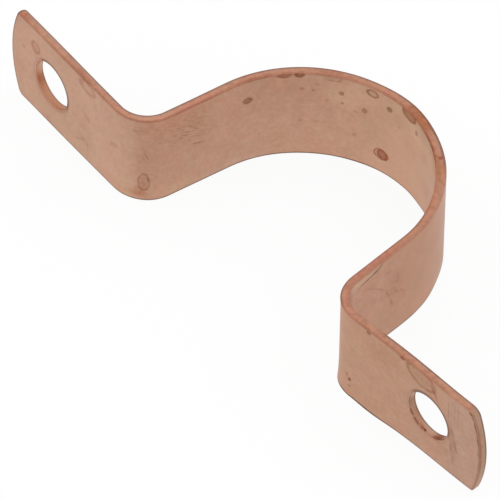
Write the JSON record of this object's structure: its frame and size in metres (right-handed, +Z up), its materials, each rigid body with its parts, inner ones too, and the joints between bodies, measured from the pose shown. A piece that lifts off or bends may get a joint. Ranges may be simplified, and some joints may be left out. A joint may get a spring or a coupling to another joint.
{
  "type": "pipe clip",
  "caption": "Copper saddle clip bent from one strip: a round saddle that grips a pipe, with a flat screw ear on each side for fixing it to a wall.",
  "frame": {"origin": "on the pipe's axis, level with the strip's lower edge", "axes": "+Z up along the pipe's axis and the strip's width, +X along the ears, +Y from the wall to the crown of the saddle"},
  "size_m": [0.0602, 0.0194, 0.0095],
  "materials": {
    "rolled_copper": "mill-rolled copper, satin, lightly tarnished with water spots"
  },
  "bodies": {
    "root": {"clip_strap": "rolled_copper"}
  },
  "joints": []
}
